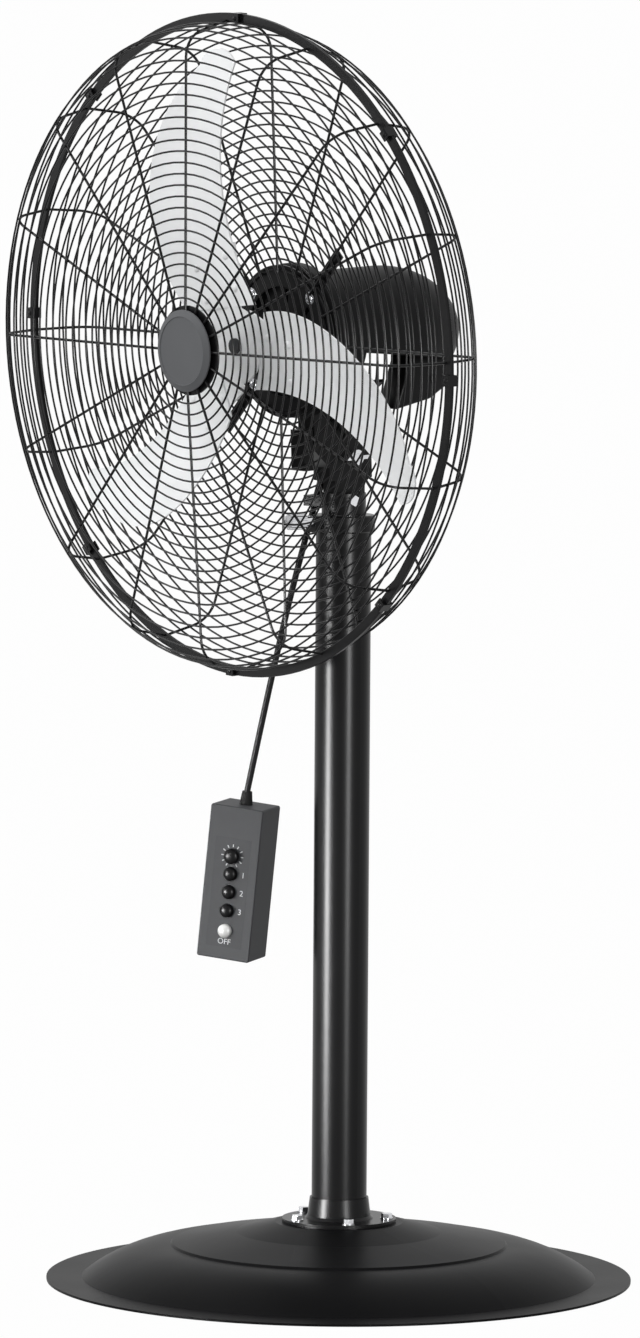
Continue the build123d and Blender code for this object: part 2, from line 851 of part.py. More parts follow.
# Clips: folded plates over both hoops
clip_spread = (0, clip_count, clip_start_angle)
clip_half_gap = hoop_width + seat_gap * 2
clip_inner = hoop_inner + hoop_thickness + seat_gap
with BuildPart() as guard_clips:
    with BuildSketch(fan.offset(guard_seam - clip_half_gap - clip_plate)):
        with PolarLocations(*clip_spread):
            with Locations((clip_inner - clip_leg, 0)):
                Rectangle(clip_leg + clip_plate, clip_width, align=(Align.MIN, Align.CENTER))
    extrude(amount=(clip_half_gap + clip_plate) * 2)
    with BuildSketch(fan.offset(guard_seam - clip_half_gap)):
        Circle(clip_inner)
    extrude(amount=clip_half_gap * 2, mode=Mode.SUBTRACT)
finish(guard_clips, "guard_clips")

# The rear guard hangs on a ring plate with four arms, screwed to the ears of the bell
with BuildPart() as rear_guard_plate:
    with BuildSketch(fan.offset(-rear_plate_back)):
        Circle(rear_plate_radius)
        with PolarLocations(0, ear_count, 180 / ear_count):
            Rectangle(plate_arm_reach, plate_arm_width, align=(Align.MIN, Align.CENTER))
        Circle(rear_plate_bore, mode=Mode.SUBTRACT)
        with PolarLocations(*ear_spread):
            Circle(bell_screw_radius + slip, mode=Mode.SUBTRACT)
    extrude(amount=guard_plate_thickness)
finish(rear_guard_plate, "rear_guard_plate")

face_slope = (front_hub_depth - front_corner_depth) / (guard_corner_radius - front_spoke_start)
plate_sink = (front_plate_radius - front_spoke_start) * face_slope
front_plate_front = front_hub_depth - spoke_wire / 2 - plate_sink - seat_gap
with BuildPart() as front_guard_plate:
    with BuildSketch(fan.offset(front_plate_front - guard_plate_thickness)):
        Circle(front_plate_radius)
    extrude(amount=guard_plate_thickness)
finish(front_guard_plate, "front_guard_plate")

badge_back = front_hub_depth + spoke_wire / 2 + seat_gap
with BuildPart() as guard_badge:
    with BuildSketch(fan_section):
        with BuildLine():
            Polyline(
                (0, badge_back),
                (badge_radius, badge_back),
                (badge_radius, badge_back + badge_height / 3),
                (badge_face_radius, badge_back + badge_height),
                (badge_face_radius - badge_dish, badge_back + badge_height - badge_dish),
                (0, badge_back + badge_height - badge_dish),
                close=True,
            )
        make_face()
    revolve(axis=fan_axis)
finish(guard_badge, "guard_badge")


# Blades: one cambered sheet, pitched, trimmed to a curved paddle and carried on the arms of the hub
def chord_depth(across):
    return blade_middle - across * tan(radians(blade_pitch_angle))


def sheet_arc(shift):
    middle = (sheet_left + sheet_right) / 2
    return ThreePointArc(
        (sheet_left, chord_depth(sheet_left) + shift),
        (middle, chord_depth(middle) - blade_camber + shift),
        (sheet_right, chord_depth(sheet_right) + shift),
    )


def blade_plane(index):
    return Plane(fan.location * Rotation(0, 0, blade_lead_angle - index * 360 / blade_count))


def sheet_plane(index):
    flat = blade_plane(index)
    return Plane(origin=flat.origin, x_dir=flat.x_dir, z_dir=-flat.y_dir)


def cambered_sheet(index, back, thickness):
    with BuildSketch(sheet_plane(index)) as section:
        with BuildLine():
            low = sheet_arc(back)
            high = sheet_arc(back + thickness)
            Line(low @ 0, high @ 0)
            Line(low @ 1, high @ 1)
        make_face()
    extrude(section.sketch, amount=-blade_tip)


def blade(index, name):
    with BuildPart() as sheet:
        cambered_sheet(index, 0, blade_sheet)
        with BuildSketch(blade_plane(index)) as outline:
            with BuildLine():
                lead = Spline(*lead_edge)
                trail = Spline(*trail_edge)
                ThreePointArc(lead @ 1, (blade_tip_across, blade_tip), trail @ 1)
                Line(lead @ 0, trail @ 0)
            make_face()
        extrude(amount=blade_tip, both=True, mode=Mode.INTERSECT)
    finish(sheet, name)


for blade_index, blade_name in enumerate(("top_blade", "right_blade", "left_blade")):
    blade(blade_index, blade_name)


def hub_arm(index):
    with BuildPart() as arm:
        cambered_sheet(index, -arm_sheet, arm_sheet - seat_gap)
        with BuildSketch(blade_plane(index)) as outline:
            with Locations((arm_middle, arm_inner)):
                Rectangle(arm_width, arm_outer - arm_inner, align=(Align.CENTER, Align.MIN))
        extrude(outline.sketch, amount=blade_tip, both=True, mode=Mode.INTERSECT)
    return arm.part


hub_arms = [hub_arm(arm_index) for arm_index in range(blade_count)]
with BuildPart() as fan_hub:
    add(hub_arms)
    with BuildSketch(fan.offset(-hub_back)):
        Circle(hub_radius)
    extrude(amount=hub_back - hub_front)
    with BuildSketch(fan.offset(-hub_front - hub_plate)):
        Circle(blade_root - play)
    extrude(amount=hub_plate)
    with BuildSketch(fan.offset(-hub_back)):
        Circle(shaft_radius + slip)
    extrude(amount=hub_back * 2, mode=Mode.SUBTRACT)
finish(fan_hub, "fan_hub")

# Cord and pendant: a leaning box with its own plane at the middle of its top
pendant_out = gland_out
lean = radians(pendant_lean_angle)
pendant_up = Vector(0, 0, cos(lean)) - pendant_out * sin(lean)
pendant_front = Vector(cos(radians(pendant_heading)), sin(radians(pendant_heading)), 0)
pendant_right = Vector(0, 0, 1).cross(pendant_front)
pendant_right = (pendant_right - pendant_up * pendant_right.dot(pendant_up)).normalized()
pendant = Plane(
    origin=pendant_out * pendant_reach + Vector(0, 0, pendant_top),
    x_dir=pendant_right,
    z_dir=pendant_up,
)
pendant_face = Plane(origin=pendant.origin, x_dir=pendant.x_dir, z_dir=-pendant.y_dir)
pendant_ahead = Axis(pendant.origin, -pendant.y_dir)
half_depth = pendant_depth / 2
wall_inside = half_depth - pendant_wall

cord_end = pendant.origin + pendant.z_dir * (grommet_height + cord_end_gap)
cord_route = [cord_exit]
cord_route += [gland_out * reach + Vector(0, 0, height) for reach, height in cord_points]
cord_route += [cord_end]


def bend_radius(before, corner, after):
    first = corner - before
    second = after - corner
    half_turn = radians(first.get_angle(second)) / 2
    return 0.45 * min(first.length, second.length) * cos(half_turn) / sin(half_turn)


cord_bends = [bend_radius(*cord_route[i:i + 3]) for i in range(len(cord_route) - 2)]
print("cord bend radii", [round(bend) for bend in cord_bends])
with BuildPart() as pendant_cord:
    with BuildLine() as cord_line:
        FilletPolyline(*cord_route, radius=cord_bends)
    cord_wire = cord_line.wires()[0]
    with BuildSketch(Plane(origin=cord_wire @ 0, z_dir=cord_wire % 0)):
        Circle(cord_radius)
    sweep(path=cord_wire)
    with Locations(Location(cord_exit)):
        Sphere(cord_radius)
print("cord length", round(cord_wire.length, 1))
finish(pendant_cord, "pendant_cord")

with BuildPart() as cord_grommet:
    with BuildSketch(pendant):
        Circle(grommet_radius)
    with BuildSketch(pendant.offset(grommet_height)):
        Circle(grommet_tip_radius)
    loft()
finish(cord_grommet, "cord_grommet")


def face_point(drop):
    return (0, -drop)


post_places = [
    (side * post_across, -drop) for side in (-1, 1) for drop in (post_drop, pendant_height - post_drop)
]

with BuildPart() as pendant_cover:
    with BuildSketch(pendant_face.offset(-pendant_seam)):
        with Locations((0, -pendant_height / 2)):
            RectangleRounded(pendant_width, pendant_height, pendant_edge)
    extrude(amount=half_depth + pendant_seam)
    fillet(pendant_cover.faces().sort_by(pendant_ahead)[-1].edges(), pendant_edge / 2)
    with BuildSketch(pendant_face.offset(-pendant_seam)):
        with Locations((0, -pendant_height / 2)):
            Rectangle(pendant_width - pendant_wall * 2, pendant_height - pendant_wall * 2)
    extrude(amount=wall_inside + pendant_seam, mode=Mode.SUBTRACT)
    with BuildSketch(pendant_face.offset(-pendant_seam)):
        with Locations(*post_places):
            Circle(post_radius)
    extrude(amount=wall_inside + pendant_seam)
    with BuildSketch(pendant_face.offset(-pendant_seam)):
        with Locations(*post_places):
            Circle(case_screw_radius + slip)
    extrude(amount=case_screw_bite, mode=Mode.SUBTRACT)
    with BuildSketch(pendant_face.offset(half_depth)):
        with Locations((0, -label_top)):
            Rectangle(label_width, label_height, align=(Align.CENTER, Align.MAX))
    extrude(amount=-label_plate, mode=Mode.SUBTRACT)
    with BuildSketch(pendant_face.offset(half_depth)):
        with Locations(face_point(dial_drop)):
            Circle(dial_stem_radius + play)
        with Locations(*[face_point(drop) for drop in button_drops]):
            Circle(button_radius + play)
    extrude(amount=-pendant_wall, mode=Mode.SUBTRACT)
finish(pendant_cover, "pendant_cover")

with BuildPart() as pendant_back:
    with BuildSketch(pendant_face.offset(-half_depth)):
        with Locations((0, -pendant_height / 2)):
            RectangleRounded(pendant_width, pendant_height, pendant_edge)
    extrude(amount=half_depth - pendant_seam)
    fillet(pendant_back.faces().sort_by(pendant_ahead)[0].edges(), pendant_edge / 2)
    with BuildSketch(pendant_face.offset(-wall_inside)):
        with Locations((0, -pendant_height / 2)):
            Rectangle(pendant_width - pendant_wall * 2, pendant_height - pendant_wall * 2)
    extrude(amount=half_depth, mode=Mode.SUBTRACT)
    with BuildSketch(pendant_face.offset(-wall_inside)):
        with Locations(*post_places):
            Circle(post_radius)
    extrude(amount=wall_inside - pendant_seam)
    with BuildSketch(pendant_face.offset(-half_depth)):
        with Locations(*post_places):
            Circle(case_screw_radius + running)
    extrude(amount=half_depth, mode=Mode.SUBTRACT)
finish(pendant_back, "pendant_back")

with BuildPart() as label_panel:
    with BuildSketch(pendant_face.offset(half_depth)):
        with Locations((0, -label_top - slip)):
            Rectangle(label_width - slip * 2, label_height - slip * 2, align=(Align.CENTER, Align.MAX))
        with Locations(face_point(dial_drop)):
            Circle(dial_stem_radius + play, mode=Mode.SUBTRACT)
        with Locations(*[face_point(drop) for drop in button_drops]):
            Circle(button_radius + play, mode=Mode.SUBTRACT)
    extrude(amount=-label_plate)
finish(label_panel, "label_panel")

with BuildPart() as switch_block:
    with BuildSketch(pendant_face.offset(-wall_inside)):
        with Locations((0, -switch_top)):
            Rectangle(switch_width, switch_height, align=(Align.CENTER, Align.MAX))
    extrude(amount=wall_inside + switch_front)
finish(switch_block, "switch_block")

with BuildPart() as timer_dial:
    with BuildSketch(pendant_face.offset(half_depth + dial_gap)):
        with Locations(face_point(dial_drop)):
            Circle(dial_radius)
    extrude(amount=dial_height)
    with BuildSketch(pendant_face.offset(half_depth + dial_gap + dial_height)):
        with Locations(face_point(dial_drop)):
            Rectangle(dial_radius / 4, dial_radius * 3)
    extrude(amount=-dial_height / 8, mode=Mode.SUBTRACT)
    with BuildSketch(pendant_face.offset(switch_front + play)):
        with Locations(face_point(dial_drop)):
            Circle(dial_stem_radius)
    extrude(amount=half_depth + dial_gap - switch_front - play)
finish(timer_dial, "timer_dial")


def push_button(drop, name):
    with BuildPart() as button:
        with BuildSketch(pendant_face.offset(wall_inside - button_stem)):
            with Locations(face_point(drop)):
                Circle(button_radius)
        extrude(amount=button_stem + pendant_wall + button_proud)
        chamfer(button.faces().sort_by(pendant_ahead)[-1].edges(), button_edge)
        with BuildSketch(pendant_face.offset(wall_inside - play)):
            with Locations(face_point(drop)):
                Circle(button_flange_radius)
        extrude(amount=-button_flange)
    finish(button, name)


for button_drop, button_name in zip(button_drops, button_names):
    push_button(button_drop, button_name)
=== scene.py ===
import bpy
import bmesh
import json
from math import atan, cos, pi, radians, sin, tan
from mathutils import Matrix, Vector


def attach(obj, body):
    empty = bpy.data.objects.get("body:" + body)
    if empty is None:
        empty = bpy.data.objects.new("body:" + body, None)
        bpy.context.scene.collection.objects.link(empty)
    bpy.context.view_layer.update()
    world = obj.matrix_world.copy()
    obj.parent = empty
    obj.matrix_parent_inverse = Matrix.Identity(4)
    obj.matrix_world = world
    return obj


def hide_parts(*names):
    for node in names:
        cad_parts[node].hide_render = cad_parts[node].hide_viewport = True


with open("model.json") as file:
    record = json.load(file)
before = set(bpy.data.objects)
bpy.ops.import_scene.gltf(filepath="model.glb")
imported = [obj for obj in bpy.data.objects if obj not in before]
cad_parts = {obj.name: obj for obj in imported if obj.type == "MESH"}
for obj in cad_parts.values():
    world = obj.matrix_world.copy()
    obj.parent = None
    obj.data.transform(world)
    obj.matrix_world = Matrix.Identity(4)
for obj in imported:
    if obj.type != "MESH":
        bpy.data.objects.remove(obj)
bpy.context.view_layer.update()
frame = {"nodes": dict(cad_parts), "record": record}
mm = 0.001  # every size below is in millimetres until it is multiplied by this

# the head leans forward about its pivot: x to the side, y up, z ahead along the fan's axis
headPose = {"pivotHeight": 862.0, "tilt": 2.3, "axisRise": 125.0, "cageForward": 142.0}


def fanFrameOf():
    lean = radians(headPose["tilt"])
    backward = Vector((0, cos(lean), sin(lean)))
    upward = Vector((0, -sin(lean), cos(lean)))
    pivot = Vector((0, 0, headPose["pivotHeight"]))
    centre = pivot - backward * headPose["cageForward"] + upward * headPose["axisRise"]
    fan = Matrix((Vector((1, 0, 0)), upward, -backward)).transposed().to_4x4()
    fan.translation = centre * mm
    return fan


fanFrame = fanFrameOf()

# the pendant leans outwards on its cord: x to its right, y to its back, z up from the middle of its top
pendantPose = {"reach": 114.3, "top": 492.5, "lean": 6.0, "cordHeading": 201.3, "faceHeading": 299.3}


def pendantFrameOf():
    out = Vector((cos(radians(pendantPose["cordHeading"])), sin(radians(pendantPose["cordHeading"])), 0))
    lean = radians(pendantPose["lean"])
    up = Vector((0, 0, cos(lean))) - out * sin(lean)
    face = Vector((cos(radians(pendantPose["faceHeading"])), sin(radians(pendantPose["faceHeading"])), 0))
    right = Vector((0, 0, 1)).cross(face)
    right = (right - up * right.dot(up)).normalized()
    place = Matrix((right, up.cross(right), up)).transposed().to_4x4()
    place.translation = (out * pendantPose["reach"] + Vector((0, 0, pendantPose["top"]))) * mm
    return place, out


pendantFrame, cordOut = pendantFrameOf()

# camera, where the photograph was taken from
cameraView = {"azimuth": 50.287, "pitch": 5.471, "roll": 0.386, "distance": 9738.75, "aside": -23.6,
              "height": 1573.2, "focalPixels": 9428.3, "imageHeight": 1338}


def addCamera():
    azimuth, pitch, roll = (radians(cameraView[k]) for k in ("azimuth", "pitch", "roll"))
    right = Vector((cos(azimuth), sin(azimuth), 0))
    towards = Vector((sin(azimuth), -cos(azimuth), 0))
    back = towards * cos(pitch) + Vector((0, 0, sin(pitch)))
    up = back.cross(right)
    right, up = right * cos(roll) + up * sin(roll), up * cos(roll) - right * sin(roll)
    data = bpy.data.cameras.new("photoCamera")
    data.sensor_width = 36
    data.lens = cameraView["focalPixels"] / cameraView["imageHeight"] * data.sensor_width
    camera = bpy.data.objects.new("photoCamera", data)
    bpy.context.scene.collection.objects.link(camera)
    place = Matrix((right, up, back)).transposed().to_4x4()
    sideways = Vector((cos(azimuth), sin(azimuth), 0)) * cameraView["aside"]
    height = Vector((0, 0, cameraView["height"]))
    place.translation = (towards * cameraView["distance"] + sideways + height) * mm
    camera.matrix_world = place
    bpy.context.scene.camera = camera


addCamera()
print("camera placed")


def toLinear(hexColour):
    channels = [int(hexColour[i:i + 2], 16) / 255 for i in (1, 3, 5)]
    return tuple(c / 12.92 if c <= 0.04045 else ((c + 0.055) / 1.055) ** 2.4 for c in channels) + (1,)


def addNode(tree, kind, links=(), **settings):
    node = tree.nodes.new(kind)
    for name, value in settings.items():
        if hasattr(node, name):
            setattr(node, name, value)
        else:
            node.inputs[name.replace("_", " ")].default_value = value
    for socket, source in links:
        tree.links.new(source, node.inputs[socket])
    return node


def newMaterial(name, metallic, roughness, **shader):
    material = bpy.data.materials.new(name)
    material.use_nodes = True
    tree = material.node_tree
    bsdf = tree.nodes["Principled BSDF"]
    bsdf.inputs["Metallic"].default_value = metallic
    bsdf.inputs["Roughness"].default_value = roughness
    for socket, value in shader.items():
        bsdf.inputs[socket.replace("_", " ")].default_value = value
    coords = addNode(tree, "ShaderNodeTexCoord").outputs["Object"]
    return material, tree, bsdf, coords


def perMetre(sizeMm):  # texture scale that gives a pattern of this size
    return 1 / (sizeMm * mm)


# grain of a coat: a fine bump, and patches many grains wide that shift its colour and sheen
grainShape = {"patchGrains": 60, "patchFrom": 0.3, "patchTo": 0.7, "bumpStrength": 0.6}


def speckle(tree, bsdf, coords, sizeMm, colours, roughness, bumpMm):
    patchScale = perMetre(sizeMm * grainShape["patchGrains"])
    noise = addNode(tree, "ShaderNodeTexNoise", [("Vector", coords)], Scale=perMetre(sizeMm), Detail=3.0)
    patches = addNode(tree, "ShaderNodeTexNoise", [("Vector", coords)], Scale=patchScale, Detail=2.0)
    ramp = addNode(tree, "ShaderNodeValToRGB", [("Fac", patches.outputs["Fac"])])
    for stop, side, colour in zip(ramp.color_ramp.elements, ("patchFrom", "patchTo"), colours):
        stop.position = grainShape[side]
        stop.color = toLinear(colour)
    tree.links.new(ramp.outputs["Color"], bsdf.inputs["Base Color"])
    rough = addNode(tree, "ShaderNodeMapRange", [("Value", patches.outputs["Fac"])],
                    To_Min=roughness[0], To_Max=roughness[1])
    tree.links.new(rough.outputs["Result"], bsdf.inputs["Roughness"])
    bump = addNode(tree, "ShaderNodeBump", [("Height", noise.outputs["Fac"])],
                   Strength=grainShape["bumpStrength"], Distance=bumpMm * mm)
    tree.links.new(bump.outputs["Normal"], bsdf.inputs["Normal"])


def powderCoat():  # satin black powder coat on sheet steel: soft sheen with a faint orange peel
    material, tree, bsdf, coords = newMaterial("satinBlackPowderCoat", 0.0, 0.3, IOR=1.5,
                                               Specular_IOR_Level=0.12)
    speckle(tree, bsdf, coords, 1.6, ("#0e0e0f", "#121213"), (0.27, 0.33), 0.03)
    return material


def baseCoat():  # the same black coat laid on the wide base, with less sheen and its colour painted a shade darker than the powder coat's: painted shade, so that its dish reads softly and dark
    material, tree, bsdf, coords = newMaterial("dullShadedBlackBaseCoat", 0.0, 0.4, IOR=1.5,
                                               Specular_IOR_Level=0.035)
    # these colours are the powder coat's made a shade darker: painted shade on the base, not a different
    # paint
    speckle(tree, bsdf, coords, 1.6, ("#0a0a0b", "#0d0d0e"), (0.34, 0.42), 0.03)
    return material


def wireCoat():  # gloss black dip coat on drawn wire: thick film, smooth highlights
    material, tree, bsdf, coords = newMaterial("glossBlackWireCoat", 0.0, 0.3, IOR=1.5,
                                               Specular_IOR_Level=0.15)
    speckle(tree, bsdf, coords, 2.5, ("#101011", "#141415"), (0.24, 0.34), 0.02)
    return material


def motorPaint():  # matte black sprayed paint on cast and pressed metal: dry, slightly dusty
    material, tree, bsdf, coords = newMaterial("matteBlackMotorPaint", 0.0, 0.45, IOR=1.5,
                                               Specular_IOR_Level=0.08)
    speckle(tree, bsdf, coords, 0.9, ("#0d0d0e", "#131314"), (0.4, 0.5), 0.05)
    return material


def chromePlate():  # bright nickel chrome on small hardware: mirror with slight haze
    material, tree, bsdf, coords = newMaterial("brightChromePlate", 1.0, 0.16)
    speckle(tree, bsdf, coords, 1.2, ("#c4c5c8", "#d6d7d9"), (0.12, 0.22), 0.01)
    return material


def bareSteel():  # turned steel: grey, fine machining haze
    material, tree, bsdf, coords = newMaterial("turnedBareSteel", 1.0, 0.34)
    speckle(tree, bsdf, coords, 0.8, ("#8a8b8d", "#9b9c9e"), (0.28, 0.4), 0.01)
    return material


def shaftSteel():  # blued steel of the shaft's end: dark, with fine turning haze
    material, tree, bsdf, coords = newMaterial("bluedShaftSteel", 0.6, 0.42)
    speckle(tree, bsdf, coords, 0.8, ("#2c2d2f", "#343537"), (0.36, 0.48), 0.01)
    return material


def bladeSheet():  # pale painted aluminium sheet: soft silver white, rolled evenly
    material, tree, bsdf, coords = newMaterial("paleAluminiumSheet", 0.1, 0.45, IOR=1.5,
                                               Specular_IOR_Level=0.3)
    speckle(tree, bsdf, coords, 1.4, ("#e6e7e8", "#ecedee"), (0.4, 0.5), 0.02)
    return material


def rubberCompound():  # moulded black rubber: dull, fine mould texture
    material, tree, bsdf, coords = newMaterial("mouldedBlackRubber", 0.0, 0.7, IOR=1.5,
                                               Specular_IOR_Level=0.1)
    speckle(tree, bsdf, coords, 0.7, ("#141414", "#1c1c1c"), (0.62, 0.78), 0.05)
    return material


def cordJacket():  # extruded PVC jacket: smooth with soft sheen
    material, tree, bsdf, coords = newMaterial("blackPvcJacket", 0.0, 0.42, IOR=1.5, Specular_IOR_Level=0.1)
    speckle(tree, bsdf, coords, 2.0, ("#161617", "#1d1d1e"), (0.36, 0.48), 0.03)
    return material


def blackAbs():  # moulded black ABS: spark-eroded fine grain
    material, tree, bsdf, coords = newMaterial("grainedBlackAbs", 0.0, 0.42, IOR=1.53, Specular_IOR_Level=0.1)
    speckle(tree, bsdf, coords, 0.6, ("#0c0c0d", "#101011"), (0.28, 0.36), 0.03)
    return material


def charcoalAbs():  # moulded charcoal ABS case: dry grain, a little lighter than the paint
    material, tree, bsdf, coords = newMaterial("grainedCharcoalAbs", 0.0, 0.5, IOR=1.53,
                                               Specular_IOR_Level=0.06)
    speckle(tree, bsdf, coords, 0.7, ("#3f4042", "#444547"), (0.44, 0.58), 0.05)
    return material


def labelFilm():  # printed polyester film on the control face: flat, dark
    material, tree, bsdf, coords = newMaterial("darkPolyesterFilm", 0.0, 0.46, IOR=1.57,
                                               Specular_IOR_Level=0.05)
    speckle(tree, bsdf, coords, 1.0, ("#393a3c", "#3e3f41"), (0.42, 0.5), 0.01)
    return material


def printInk():  # pale screen-print ink
    material, tree, bsdf, coords = newMaterial("paleScreenInk", 0.0, 0.6, IOR=1.5)
    speckle(tree, bsdf, coords, 0.8, ("#b4b6b8", "#c6c8ca"), (0.55, 0.65), 0.01)
    return material


def badgeLacquer():  # grey lacquered disc with a bare face
    material, tree, bsdf, coords = newMaterial("greyBadgeLacquer", 0.0, 0.45, IOR=1.5,
                                               Specular_IOR_Level=0.08)
    speckle(tree, bsdf, coords, 1.2, ("#505153", "#555658"), (0.4, 0.5), 0.01)
    return material


def whiteAbs():  # glossy white ABS cap
    material, tree, bsdf, coords = newMaterial("whiteAbsCap", 0.0, 0.28, IOR=1.53)
    speckle(tree, bsdf, coords, 0.9, ("#dcdcda", "#e6e6e4"), (0.24, 0.34), 0.01)
    return material


finishes = {
    "black_paint": powderCoat(), "wire_paint": wireCoat(), "motor_paint": motorPaint(),
    "chrome": chromePlate(), "steel": bareSteel(), "aluminium": bladeSheet(), "rubber": rubberCompound(),
    "cord": cordJacket(), "black_plastic": blackAbs(), "charcoal_plastic": charcoalAbs(),
    "label": labelFilm(), "badge": badgeLacquer(), "white_plastic": whiteAbs(), "ink": printInk(),
}

for part in frame["record"]["subparts"]:  # the CAD nodes that stay take the finish of their slot
    node = frame["nodes"][part["node"]]
    node.data.materials.clear()
    node.data.materials.append(finishes[part["material_slot"]])
# the base takes the darker copy of the coat: painted shade
frame["nodes"]["base_plate"].data.materials[0] = baseCoat()
frame["nodes"]["motor_shaft"].data.materials[0] = shaftSteel()
print("finishes on", len(frame["nodes"]), "nodes")


# meshes: points nearer than this are one, and edges that turn more than this stay crisp
meshFinish = {"weld": 0.001, "crispAngle": 38.0}


def addPiece(name, bm, place, finish, body, replaced=(), smooth=True):
    bmesh.ops.remove_doubles(bm, verts=bm.verts, dist=meshFinish["weld"])
    bmesh.ops.recalc_face_normals(bm, faces=bm.faces)
    bmesh.ops.scale(bm, vec=(mm, mm, mm), verts=bm.verts)
    bmesh.ops.transform(bm, matrix=place, verts=bm.verts)
    mesh = bpy.data.meshes.new(name)
    bm.to_mesh(mesh)
    bm.free()
    piece = bpy.data.objects.new(name, mesh)
    bpy.context.scene.collection.objects.link(piece)
    mesh.materials.append(finishes[finish])
    if smooth:
        mesh.shade_smooth()
        mesh.set_sharp_from_angle(angle=radians(meshFinish["crispAngle"]))
    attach(piece, body)
    if replaced:
        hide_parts(*replaced)
    return piece


# the cord leaves the gland in the neck and carries the pendant
cordLay = {"radius": 3.3, "glandReach": 33.0, "glandHeight": 815.0, "glandSlant": 17.0, "glandBelow": 8.0,
           "bends": ((58.0, 733.0), (90.0, 606.0)), "grommetHeight": 14.45}


def addCord():
    slant = radians(cordLay["glandSlant"])
    leave = cordOut * (cordLay["glandReach"] + cordLay["glandBelow"] * sin(slant))
    leave += Vector((0, 0, cordLay["glandHeight"] - cordLay["glandBelow"] * cos(slant)))
    route = [leave * mm]
    route += [(cordOut * reach + Vector((0, 0, height))) * mm for reach, height in cordLay["bends"]]
    route += [pendantFrame @ Vector((0, 0, cordLay["grommetHeight"] * mm))]
    curve = bpy.data.curves.new("pendantCordLine", "CURVE")
    curve.dimensions = "3D"
    spline = curve.splines.new("NURBS")
    spline.points.add(len(route) - 1)
    for point, place in zip(spline.points, route):
        point.co = (*place, 1)
    spline.order_u = 3
    spline.use_endpoint_u = True
    spline.resolution_u = 24
    curve.bevel_depth = cordLay["radius"] * mm
    curve.bevel_resolution = 6
    curve.use_fill_caps = True
    cord = bpy.data.objects.new("pendantCordLine", curve)
    bpy.context.scene.collection.objects.link(cord)
    curve.materials.append(finishes["cord"])
    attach(cord, "pendant")
    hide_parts("pendant_cord")


addCord()
print("cord hung")


def edgesOf(geometry):
    return [item for item in geometry if isinstance(item, bmesh.types.BMEdge)]


def vertsOf(geometry):
    return [item for item in geometry if isinstance(item, bmesh.types.BMVert)]


def allOf(bm):
    return bm.verts[:] + bm.edges[:] + bm.faces[:]


def aroundAxis(start, index, count):  # turn about the fan's axis to one of several equal places
    return Matrix.Rotation(radians(start + index * 360 / count), 4, "Z")


def lathe(outline, steps):  # outline of (radius, height) points turned about the z axis
    bm = bmesh.new()
    line = [bmesh.ops.create_vert(bm, co=(radius, 0, height))["vert"][0] for radius, height in outline]
    for pair in zip(line, line[1:]):
        bmesh.ops.contextual_create(bm, geom=pair)
    bmesh.ops.spin(bm, geom=bm.verts[:] + bm.edges[:], axis=(0, 0, 1), cent=(0, 0, 0), angle=2 * pi,
                   steps=steps, use_merge=True)
    bmesh.ops.remove_doubles(bm, verts=bm.verts, dist=meshFinish["weld"])
    return bm


# guards: the spokes run out from the middle, bend round the corner and end at the hoops
guardShape = {"radius": 333.0, "corner": 320.4, "bend": 28.0, "bendSteps": 8, "spokes": 16, "spokeWire": 2.8,
              "ringWire": 2.05, "ringPitch": 11.5, "wireSides": 8, "weldSink": 0.1, "smallRing": 200.0,
              "smallRingSteps": 72, "ringSteps": 112, "seam": -2.0, "endDepth": 2.0, "spareEnd": 8.2,
              "hoopInner": 331.2, "hoopOuter": 341.2, "hoopGap": 0.2, "hoopPlate": 1.8, "hoopEdge": 0.4,
              "hoopSteps": 144}
frontGuard = {"name": "front", "start": 27.0, "startDepth": 64.2, "cornerDepth": 53.6, "firstRing": 54.0}
rearGuard = {"name": "rear", "start": 72.0, "startDepth": -58.9, "cornerDepth": -57.6, "firstRing": 74.0}


def guardPath(guard):
    sign = 1 if guard["startDepth"] > 0 else -1
    start = Vector((guard["start"], guard["startDepth"]))
    corner = Vector((guardShape["corner"], guard["cornerDepth"]))
    end = Vector((guardShape["radius"], guardShape["seam"] + sign * guardShape["endDepth"]))
    inward = (corner - start).normalized()
    onward = (end - corner).normalized()
    turn = inward.angle(onward)
    tangent = guardShape["bend"] * tan(turn / 2)
    bendStart = corner - inward * tangent
    normal = Vector((inward.y, -inward.x)) * sign  # towards the inside of the bend
    centre = bendStart + normal * guardShape["bend"]
    return {"start": start, "bendStart": bendStart, "centre": centre, "turn": turn, "sign": sign,
            "bendEnd": corner + onward * tangent, "end": end, "inward": inward, "onward": onward,
            "normal": normal}


def alongPath(path, distance):  # place on the spoke's centre line and the way out of the cage there
    straight = (path["bendStart"] - path["start"]).length
    arc = guardShape["bend"] * path["turn"]
    if distance < straight:
        return path["start"] + path["inward"] * distance, -path["normal"]
    if distance < straight + arc:
        angle = (distance - straight) / guardShape["bend"]
        out = -path["normal"] * cos(angle) + path["inward"] * sin(angle)
        return path["centre"] + out * guardShape["bend"], out
    out = Vector((path["onward"].y, -path["onward"].x)) * -path["sign"]
    return path["bendEnd"] + path["onward"] * (distance - straight - arc), out


